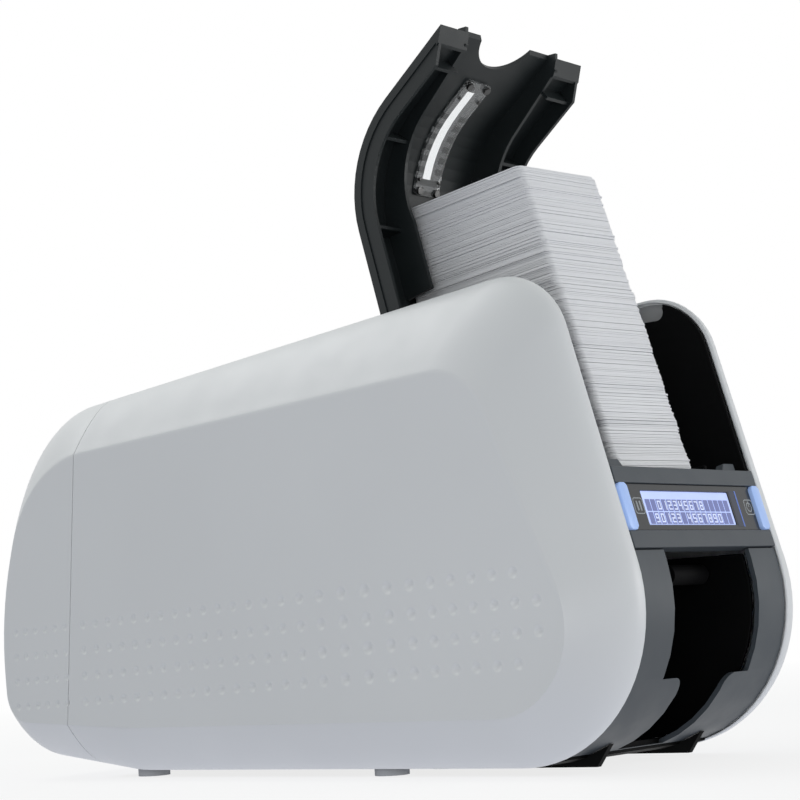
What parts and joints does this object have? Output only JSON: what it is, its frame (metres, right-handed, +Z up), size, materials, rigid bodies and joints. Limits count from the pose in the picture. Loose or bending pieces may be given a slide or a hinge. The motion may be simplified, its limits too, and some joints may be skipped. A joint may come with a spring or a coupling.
{
  "type": "id card printer",
  "caption": "Desktop card printer with rounded white side panels, an open hopper cover over a card stack, a display bezel with two keys and a front output stacker.",
  "frame": {"origin": "on the plane the feet stand on, under the middle of the whole printer with its hopper cover open", "axes": "+Z up, -Y is the front with the bezel and the stacker, +X to the right for someone facing the back from the front"},
  "size_m": [0.173, 0.3888, 0.3387],
  "materials": {
    "shell": "satin white",
    "dark_shell": "satin dark grey",
    "cover": "satin charcoal",
    "black": "satin black",
    "window": "clear",
    "screw": "blackened",
    "card": "satin",
    "panel": "gloss",
    "screen": "backlit",
    "key": "translucent blue",
    "board": "gloss",
    "foot": "matte",
    "steel": "plain",
    "roller": "matte",
    "gear": "satin",
    "brass": "plain",
    "cartridge": "satin",
    "ribbon": "gloss",
    "head": "gloss"
  },
  "bodies": {
    "printer_body": {"left_side_panel": "shell", "right_side_panel": "shell", "rear_cover": "shell", "top_cover_pins": "steel", "hopper_cover_pins": "steel", "hinge_rail": "black", "left_hopper_wall": "black", "right_hopper_wall": "black", "hopper_tray": "black", "hopper_back": "black", "card_stack": "card", "front_bezel": "dark_shell", "display_panel": "panel", "lcd_module": "screen", "key_board": "board", "stacker_front": "dark_shell", "output_stacker": "black", "base_chassis": "black", "feet": "foot", "left_frame": "steel", "right_frame": "steel", "tie_bars": "steel", "drive_belt": "roller", "drive_motor": "black", "ribbon_cartridge": "cartridge", "ribbon_film": "ribbon", "main_board": "board", "connector_plate": "steel", "power_inlet": "black", "usb_port": "steel", "switch_housing": "black", "panel_screws": "screw"},
    "hopper_cover": {"hopper_cover": "cover", "level_window": "window", "window_screws": "screw"},
    "top_cover": {"top_cover": "cover", "printhead": "head", "printhead_bracket": "steel"},
    "pause_key": {"pause_key": "key"},
    "power_key": {"power_key": "key"},
    "exit_roller": {"exit_roller": "roller"},
    "pick_roller": {"pick_roller": "roller"},
    "front_feed_roller": {"front_feed_roller": "roller"},
    "rear_feed_roller": {"rear_feed_roller": "roller"},
    "platen_roller": {"platen_roller": "roller", "drive_gear": "gear"},
    "front_pinch_roller": {"front_pinch_roller": "roller"},
    "rear_pinch_roller": {"rear_pinch_roller": "roller"},
    "motor_pinion": {"motor_pinion": "brass"},
    "supply_spool": {"supply_spool": "ribbon"},
    "takeup_spool": {"takeup_spool": "ribbon"},
    "power_switch": {"power_switch": "black"}
  },
  "joints": [
    {"name": "hopper_cover_hinge", "type": "hinge", "parent": "printer_body", "child": "hopper_cover", "pos_m": [0, -0.0635, 0.2034], "axis": [1, 0, 0], "range_deg": [0, 104], "deforming": ["card_stack"]},
    {"name": "top_cover_hinge", "type": "hinge", "parent": "printer_body", "child": "top_cover", "pos_m": [0, 0.113, 0.18106], "axis": [-1, 0, 0], "range_deg": [0, 60]},
    {"name": "pause_key_press", "type": "slide", "parent": "printer_body", "child": "pause_key", "axis": [0, 0.9659, -0.2588], "range_m": [0, 0.001], "stiffness_N_per_m": 800, "springref_m": -0.0005},
    {"name": "power_key_press", "type": "slide", "parent": "printer_body", "child": "power_key", "axis": [0, 0.9659, -0.2588], "range_m": [0, 0.001], "stiffness_N_per_m": 800, "springref_m": -0.0005},
    {"name": "platen_spin", "type": "hinge", "parent": "printer_body", "child": "platen_roller", "pos_m": [0, 0.03, 0.102], "axis": [1, 0, 0], "continuous": true},
    {"name": "pick_spin", "type": "hinge", "parent": "printer_body", "child": "pick_roller", "pos_m": [0, -0.11, 0.1122], "axis": [1, 0, 0], "continuous": true},
    {"name": "front_feed_spin", "type": "hinge", "parent": "printer_body", "child": "front_feed_roller", "pos_m": [0, -0.058, 0.102], "axis": [1, 0, 0], "continuous": true},
    {"name": "rear_feed_spin", "type": "hinge", "parent": "printer_body", "child": "rear_feed_roller", "pos_m": [0, 0.088, 0.102], "axis": [1, 0, 0], "continuous": true},
    {"name": "front_pinch_spin", "type": "hinge", "parent": "printer_body", "child": "front_pinch_roller", "pos_m": [0, -0.058, 0.1158], "axis": [1, 0, 0], "continuous": true},
    {"name": "rear_pinch_spin", "type": "hinge", "parent": "printer_body", "child": "rear_pinch_roller", "pos_m": [0, 0.088, 0.1158], "axis": [1, 0, 0], "continuous": true},
    {"name": "motor_spin", "type": "hinge", "parent": "printer_body", "child": "motor_pinion", "pos_m": [0, 0.02007, 0.07142], "axis": [1, 0, 0], "continuous": true},
    {"name": "exit_roller_spin", "type": "hinge", "parent": "printer_body", "child": "exit_roller", "pos_m": [0, -0.166, 0.082], "axis": [1, 0, 0], "continuous": true},
    {"name": "takeup_spin", "type": "hinge", "parent": "printer_body", "child": "takeup_spool", "pos_m": [0, -0.028, 0.147], "axis": [1, 0, 0], "continuous": true},
    {"name": "supply_spin", "type": "hinge", "parent": "printer_body", "child": "supply_spool", "pos_m": [0, 0.078, 0.149], "axis": [1, 0, 0], "continuous": true},
    {"name": "power_switch_rock", "type": "hinge", "parent": "printer_body", "child": "power_switch", "pos_m": [0, 0.1855, 0.043], "axis": [1, 0, 0], "range_deg": [0, 16]}
  ],
  "couplings": [
    {"joint": "pick_spin", "follows": "platen_spin", "ratio": 1},
    {"joint": "front_feed_spin", "follows": "platen_spin", "ratio": 1},
    {"joint": "rear_feed_spin", "follows": "platen_spin", "ratio": 1},
    {"joint": "front_pinch_spin", "follows": "platen_spin", "ratio": -1.6},
    {"joint": "rear_pinch_spin", "follows": "platen_spin", "ratio": -1.6},
    {"joint": "motor_spin", "follows": "platen_spin", "ratio": -3.5714},
    {"joint": "supply_spin", "follows": "takeup_spin", "ratio": 0.73333}
  ]
}
